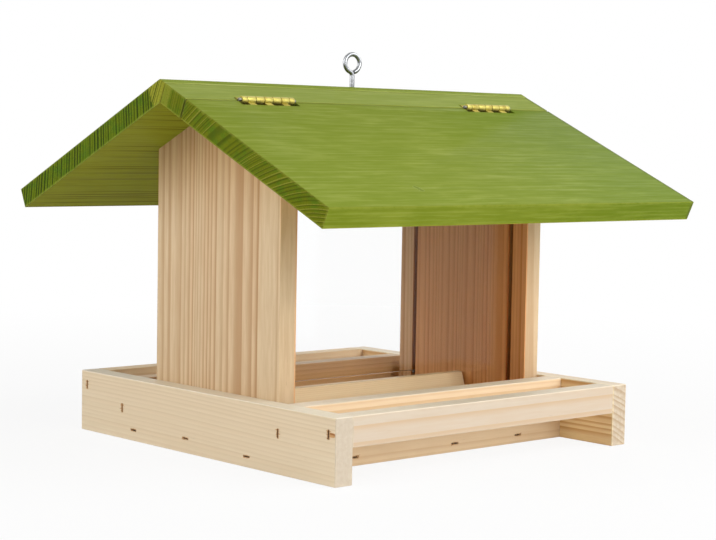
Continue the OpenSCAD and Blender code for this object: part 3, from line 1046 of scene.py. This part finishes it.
# %% A torn fibre and a chip
# In mm: how far a sliver's root, belly and tip stand out of the wood, and how wide and thick it is.
ROOT_OUT, BELLY_OUT, TIP_OUT = -0.1, 0.02, 0.12
BELLY_WIDE, TIP_WIDE, LEAST_THICK = 0.34, 0.04, 0.04
CHIP_STEPS = [(0.0, -0.12, 2.2), (2.0, 0.02, 2.6), (4.2, 0.12, 2.2), (5.6, 0.24, 1.2)]
CHIP_THICK = 0.16


def add_torn_fibre(shape, staple, grain):
    along, out = staple["crown"], staple["out"]
    across = out.cross(along)
    sign = luck.choice((-1, 1))
    start = staple["spot"] + along * off_line(2.2) + across * sign * WIRE_WIDTH * 0.62
    length = luck.uniform(1.0, 2.6) * MM
    way = grain * sign * luck.uniform(0.6, 1.0) + across * sign * 0.2 + along * luck.uniform(-0.15, 0.15)
    way = way.normalized()
    root = start + out * ROOT_OUT * MM
    belly = start + way * length * 0.5 + out * BELLY_OUT * MM
    tip = start + way * length + out * TIP_OUT * MM
    widths = [luck.uniform(0.4, 0.7) * MM, BELLY_WIDE * MM, TIP_WIDE * MM]
    outlines = [flat_outline(width, max(LEAST_THICK * MM, width * 0.35)) for width in widths]
    sweep(shape, [root, belly, tip], outlines, out)


def add_chip(shape, staple, grain):
    """Each step is how far along the grain it is, how high it stands and how wide it is, in mm."""
    out = staple["out"]
    start = staple["spot"] + grain * (WIRE_WIDTH * 0.7)
    path = [start + grain * run * MM + out * rise * MM for run, rise, wide in CHIP_STEPS]
    outlines = [flat_outline(wide * MM, CHIP_THICK * MM) for run, rise, wide in CHIP_STEPS]
    sweep(shape, path, outlines, out)


print("the chip's length in mm:", CHIP_STEPS[-1][0])

# %% Drive the staples
FIBRES_PER_STAPLE = 4
CHIPPED_STAPLE = 3


def punch_dents(node, dents):
    """Cuts the dents out of a board with a hidden helper."""
    cutter = add_to_scene("dents_" + node, mesh_from("dents_" + node, dents))
    cutter.hide_render = True
    punch = frame["nodes"][node].modifiers.new("punch_dents", "BOOLEAN")
    punch.operation = "DIFFERENCE"
    punch.solver = "EXACT"
    punch.object = cutter


wires, slivers = bmesh.new(), bmesh.new()
for node, places in staples.items():
    dents = bmesh.new()
    for staple in places:
        path = staple_path(staple)
        sweep(wires, path, [flat_outline(WIRE_WIDTH, WIRE_THICK)] * len(path), staple["crown"])
        add_dent(dents, staple)
        for sliver in range(FIBRES_PER_STAPLE):
            add_torn_fibre(slivers, staple, bare_boards[node]["grain"])
    punch_dents(node, dents)
add_chip(slivers, staples["left_end_rail"][CHIPPED_STAPLE], -Y_AXIS)
torn_cut = dict(bare_boards["left_end_rail"], early=(206, 164, 112), late=(150, 96, 52))
torn_pine = bare_pine("pine_torn_fibres", "left_end_rail", torn_cut)
make_piece("staples", wires, dark_wire, "feeder")
make_piece("torn_fibres", slivers, torn_pine, "feeder")

# %% [markdown]
# ## The eye screw
# A screw eye is one length of wire: a straight shank that leans off, in a small smooth bend, into an
# almost closed ring, and ends blunt beside the shank. A torus on a cylinder would have a kink and no
# gap. Here the bend and the ring are two arcs that touch, and the other end is drawn to a point inside
# the wood.

# %% Measure the eye
WIRE_R = 1.4 * MM
RING_TURN = math.radians(-6)
eye_low, eye_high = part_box("eye_screw")
shank_r = max(abs(co.x) for co in corners_of("eye_screw") if co.z < eye_low.z + 0.1 * MM)
ring_across = Vector((math.cos(RING_TURN), math.sin(RING_TURN), 0))
ring_r = (eye_high.x - eye_low.x) / 2 / math.cos(RING_TURN) - WIRE_R
ring_middle = Vector((0, middle_of("eye_screw").y, eye_high.z - WIRE_R - ring_r))
print("shank radius in mm:", round(shank_r / MM, 2), "ring radius in mm:", round(ring_r / MM, 2))

# %% Bend the eye screw
BEND_R, BEND_STEPS = 2.6 * MM, 6
RING_SWEEP, RING_STEPS = math.radians(328), 48
POINT_LENGTH, POINT_R, BLUNT = 2.5 * MM, 0.15 * MM, 0.86


def arc(centre, radius, start, turn, steps):
    """Points from the start of an arc to its end."""
    angles = [start + turn * step / steps for step in range(steps + 1)]
    return [(centre[0] + radius * math.cos(t), centre[1] + radius * math.sin(t)) for t in angles]


bend_drop = math.sqrt((ring_r + BEND_R) ** 2 - BEND_R ** 2)
bend_turn = math.atan2(bend_drop, BEND_R)
foot = eye_low.z - ring_middle.z
flat_path = [(0, foot), (0, foot + POINT_LENGTH), (0, -bend_drop - 4 * MM)]
flat_path += arc((-BEND_R, -bend_drop), BEND_R, 0, bend_turn, BEND_STEPS)
flat_path += arc((0, 0), ring_r, math.pi + bend_turn, -RING_SWEEP, RING_STEPS)[1:]
wire_path = [ring_middle + ring_across * a + Z_AXIS * b for a, b in flat_path]
radii = [POINT_R, shank_r, shank_r]
radii += [shank_r + (WIRE_R - shank_r) * step / BEND_STEPS for step in range(BEND_STEPS + 1)]
radii += [WIRE_R] * (RING_STEPS - 1) + [WIRE_R * BLUNT]
eye_shape = bmesh.new()
sweep(eye_shape, wire_path, [circle_outline(r) for r in radii], ring_across.cross(Z_AXIS))
eye_screw = make_piece("bent_eye_screw", eye_shape, bright_zinc, "feeder")
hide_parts("eye_screw")

# %% [markdown]
# ## Hinge screws
# Each leaf is held by three small countersunk screws, whose heads sit nearly flush and show when the
# lid is open. The cross could be cut with a Boolean, but twelve cutters for such a small mark are slow.
# It is pressed into a round grid of points instead: a point drops where it lies inside an arm.

# %% Press a screw head
HEAD_R, HEAD_DOME, HEAD_RIM = 1.9 * MM, 0.28 * MM, 0.5 * MM
HEAD_STEPS, HEAD_CORNERS = 10, 48
CROSS_LONG, CROSS_WIDE, CROSS_DEEP = 1.15 * MM, 0.28 * MM, 0.7 * MM


def head_height(radius, a, b):
    """How far the head stands out here: a low dome with a cross pressed into it."""
    dome = HEAD_DOME * (1 - (radius / HEAD_R) ** 2)
    short, long = sorted((abs(a), abs(b)))
    return dome - CROSS_DEEP if short < CROSS_WIDE and long < CROSS_LONG else dome


def add_screw_head(shape, centre, out):
    up = out.cross(X_AXIS)
    loops = []
    for step in range(1, HEAD_STEPS + 1):
        radius = HEAD_R * step / HEAD_STEPS
        spots = [Vector((a, b, head_height(radius, a, b))) for a, b in circle_outline(radius, HEAD_CORNERS)]
        loops.append([shape.verts.new(centre + X_AXIS * s.x + up * s.y + out * s.z) for s in spots])
    loops.append([shape.verts.new(v.co - out * HEAD_RIM) for v in loops[-1]])
    hub = shape.verts.new(centre + out * (HEAD_DOME - CROSS_DEEP))
    for turn in range(HEAD_CORNERS):
        after = (turn + 1) % HEAD_CORNERS
        shape.faces.new((hub, loops[0][turn], loops[0][after]))
        for inner, outer in zip(loops, loops[1:]):
            shape.faces.new((inner[turn], outer[turn], outer[after], inner[after]))
    shape.faces.new(loops[-1])


print("points round a screw head:", HEAD_CORNERS)

# %% Set the screws in the leaves
SCREW_GAP = 13 * MM
up_slope = Vector((0, math.cos(roof_pitch), math.sin(roof_pitch)))
pin_r = size_of("left_hinge_pin").y / 2


def on_hinge(point):
    """A point as (along the pin, up the slope, out of the roof), from the pin's middle."""
    off = point - hinge_point
    return Vector((off.x, off.dot(up_slope), off.dot(front_slope)))


def set_screws(leaf, body, face):
    """Three screws down the middle of a leaf's plate. face is 1 if the plate lies up the slope, else -1."""
    spots = [on_hinge(co) for co in corners_of(leaf)]
    barrel_r = max(spot.z for spot in spots)
    plate = face * (max(face * spot.y for spot in spots) - (barrel_r - pin_r))
    depth = (min(spot.z for spot in spots) - barrel_r) / 2
    heads = bmesh.new()
    for step in (-1, 0, 1):
        along = middle_of(leaf).x + step * SCREW_GAP
        centre = hinge_point + X_AXIS * along + up_slope * plate + front_slope * depth
        add_screw_head(heads, centre, -up_slope * face)
    make_piece(leaf + "_screws", heads, bright_brass, body, 30)


for side in ("left", "right"):
    set_screws(side + "_hinge_fixed_leaf", "feeder", 1)
    set_screws(side + "_hinge_lid_leaf", "lid", -1)

# %% [markdown]
# ## Clear panes
# Acrylic sheet is nearly invisible face on and shows mainly at its sawn edges, which get a painted
# reflection of the wood round them. Mixing in plain transparency alone would lose the gloss. Transmission
# gives it, with a little roughness from fine scratches, and Light Path swaps in a transparent shader
# for shadow and diffuse rays, so that light still reaches the seed inside.

# %% Mix two shaders
def mix_shaders(tree, share, first, second):
    return add_node(tree, "MixShader", {0: share, 1: first.outputs[0], 2: second.outputs[0]})


def show_shader(tree, shader):
    tree.links.new(shader.outputs[0], tree.nodes["Material Output"].inputs["Surface"])


print("helpers for shaders ready")

# %% The acrylic recipe
CLEAN, SMEARED = (0.996, 0.998, 0.998, 1), (0.985, 0.990, 0.990, 1)
# A painted reflection of the wood round the panes, on their sawn edges.
SAWN_EDGE = shade(150, 108, 68)
# The sawn look starts this far in from a long edge, and is full this far in.
SAWN_BAND = (0.4 * MM, 0.2 * MM)
# Less than acrylic's true 1.49, so that the thin sheets mirror the white room only faintly.
SHEET_IOR = 1.20


def clear_sheet(name, node):
    made, tree, shader = start_material(name)
    turn, centre, half = board_space(node, Y_AXIS, X_AXIS)
    own = own_place(tree)
    place = into_box(tree, own, centre, turn.to_euler())
    across = calc(tree, "ABSOLUTE", split(tree, place)["X"])
    long_edge = ramp(tree, across, *[half.x - inset for inset in SAWN_BAND])
    short_edge = use_group(tree, arris, {"Place": place, "Half Size": half})["End Grain"]
    sawn = calc(tree, "MAXIMUM", long_edge, short_edge)
    smears = noise(tree, own, 60.0, 3.0)
    smeared = ramp(tree, smears, 0.4, 0.7, 0.0, 0.2)
    colour = blend(tree, smeared, CLEAN, SMEARED)
    fill(tree, shader.inputs["Base Color"], blend(tree, sawn, colour, SAWN_EDGE))
    polish = ramp(tree, smears, 0.45, 0.75, 0.01, 0.05)
    fill(tree, shader.inputs["Roughness"], calc(tree, "MAXIMUM", polish, calc(tree, "MULTIPLY", sawn, 0.5)))
    shader.inputs["Transmission Weight"].default_value = 1.0
    shader.inputs["IOR"].default_value = SHEET_IOR
    ray = add_node(tree, "LightPath").outputs
    unseen = calc(tree, "MAXIMUM", ray["Is Shadow Ray"], ray["Is Diffuse Ray"])
    lets_light_in = add_node(tree, "BsdfTransparent", {"Color": (0.99, 0.99, 0.99, 1)})
    show_shader(tree, mix_shaders(tree, unseen, shader, lets_light_in))
    return made


PANE_ARRIS = 0.15 * MM
for node in ("front_pane", "back_pane"):
    dress(node, clear_sheet("clear_" + node, node), PANE_ARRIS, 1)
print("a pane in mm:", [round(c / MM, 1) for c in size_of("front_pane")])

# %% [markdown]
# ## Camera
# The feeder is seen from its left front corner, a little above the tray. A short lens close by would
# splay the boards, so a longish one stands more than a metre off and keeps them nearly parallel.

# %% Set the camera
VIEW_TURN = math.radians(-41.854)
VIEW_RISE = math.radians(4.112)
VIEW_ROLL = math.radians(0.998)
VIEW_DISTANCE = 1.1168
VIEW_CENTRE = Vector((2.2, -2.0, 102.8)) * MM
FILM_WIDTH, LENS_LENGTH = 36.0, 91.80

camera_data = bpy.data.cameras.new("camera")
camera_data.sensor_width = FILM_WIDTH
camera_data.lens = LENS_LENGTH
camera = add_to_scene("camera", camera_data)
bpy.context.scene.camera = camera
level = math.cos(VIEW_RISE)
back = Vector((math.sin(VIEW_TURN) * level, -math.cos(VIEW_TURN) * level, math.sin(VIEW_RISE)))
level_right = Z_AXIS.cross(back).normalized()
level_up = back.cross(level_right)
right = level_right * math.cos(VIEW_ROLL) + level_up * math.sin(VIEW_ROLL)
view_axes = Matrix((right, back.cross(right), back)).transposed().to_4x4()
camera.matrix_world = Matrix.Translation(VIEW_CENTRE + back * VIEW_DISTANCE) @ view_axes
print("camera at", [round(c, 3) for c in camera.matrix_world.translation])

# %% [markdown]
# ## Lamps
# One strong lamp would leave the gables black on one side. Seven large soft ones stand round the feeder
# instead: the strongest in front, one high on the right, one low and one high on the left, one at the
# right, and two behind that keep the far boards and the roof's underside from going dark.

# %% Hang the lamps
LAMP_SIZE = 1.0
LAMP_AIM = Vector((0, 0, 0.1))
lamps = {
    "front_lamp": ((0.1, -1.8, 0.7), 20.0),
    "high_lamp": ((0.8, -1.3, 1.3), 11.0),
    "low_left_lamp": ((-1.8, 0.1, 0.45), 8.8),
    "high_left_lamp": ((-1.4, 0.1, 1.3), 6.2),
    "left_back_lamp": ((-1.4, 1.2, 0.7), 10.6),
    "right_lamp": ((1.4, -0.9, 0.9), 13.4),
    "right_back_lamp": ((1.3, 1.2, 0.6), 6.2),
}
for name, (place, power) in lamps.items():
    light = bpy.data.lights.new(name, "AREA")
    light.shape = "SQUARE"
    light.size = LAMP_SIZE
    light.energy = power
    lamp = add_to_scene(name, light)
    lamp.location = place
    lamp.rotation_euler = (Vector(place) - LAMP_AIM).to_track_quat("Z", "Y").to_euler()
print("lamps:", len(lamps), "with", round(sum(power for place, power in lamps.values()), 1), "watts in all")

# %% [markdown]
# ## A white room
# The background is white, but a full white world would wash out the wood. So the room is full white
# only to the camera and in reflections, where metal and acrylic need something bright to mirror, and
# faint to everything else. Light Path tells the world's shader which ray is asking.

# %% Build the white room
ROOM_LIGHT = 0.1


def seen_directly(tree):
    ray = add_node(tree, "LightPath").outputs
    mirrored = calc(tree, "MAXIMUM", ray["Is Glossy Ray"], ray["Is Transmission Ray"])
    return calc(tree, "MAXIMUM", ray["Is Camera Ray"], mirrored)


def white_room():
    world = bpy.data.worlds.new("room")
    world.use_nodes = True
    tree = world.node_tree
    tree.nodes.clear()
    strength = calc(tree, "MULTIPLY_ADD", seen_directly(tree), 1.0 - ROOM_LIGHT, ROOM_LIGHT)
    glow = add_node(tree, "Background", {"Color": (1, 1, 1, 1), "Strength": strength})
    leave = tree.nodes.new("ShaderNodeOutputWorld")
    tree.links.new(glow.outputs[0], leave.inputs["Surface"])
    bpy.context.scene.world = world


white_room()
bpy.context.scene.view_settings.view_transform = "Standard"
print("share of white that falls on the wood:", ROOM_LIGHT)

# %% [markdown]
# ## A pale floor
# The floor is a large plain sheet. A grey one would draw a hard horizon, so it glows white to the
# camera as the room does, but a little less near the feeder, where it keeps a soft shadow. From below
# it is clear, so that the underside can be looked at.

# %% Lay the floor
FLOOR_REACH = 30.0
FLOOR_DROP = 0.2 * MM
FLOOR_GREY = (0.86, 0.86, 0.86, 1)
FADE_START, FADE_END = 0.25, 0.9
LEAST_GLOW = 0.88


def pale_floor():
    made, tree, shader = start_material("pale_floor")
    shader.inputs["Base Color"].default_value = FLOOR_GREY
    shader.inputs["Roughness"].default_value = 0.9
    away = ramp(tree, move(tree, "LENGTH", own_place(tree)), FADE_START, FADE_END)
    most_glow = calc(tree, "MULTIPLY_ADD", away, 1 - LEAST_GLOW, LEAST_GLOW)
    glow_share = calc(tree, "MULTIPLY", seen_directly(tree), most_glow)
    glow = add_node(tree, "Emission", {"Color": (1, 1, 1, 1), "Strength": 1.0})
    from_above = mix_shaders(tree, glow_share, shader, glow)
    clear = add_node(tree, "BsdfTransparent", {"Color": (1, 1, 1, 1)})
    from_below = add_node(tree, "NewGeometry").outputs["Backfacing"]
    show_shader(tree, mix_shaders(tree, from_below, from_above, clear))
    return made


floor_mesh = bpy.data.meshes.new("floor")
floor_corners = [(a * FLOOR_REACH, b * FLOOR_REACH, 0) for a, b in ((-1, -1), (1, -1), (1, 1), (-1, 1))]
floor_mesh.from_pydata(floor_corners, [], [(0, 1, 2, 3)])
floor_mesh.materials.append(pale_floor())
floor = add_to_scene("floor", floor_mesh)
floor.location.z = -FLOOR_DROP
print("floor", 2 * FLOOR_REACH, "m wide, fading from", FADE_START, "to", FADE_END, "m")
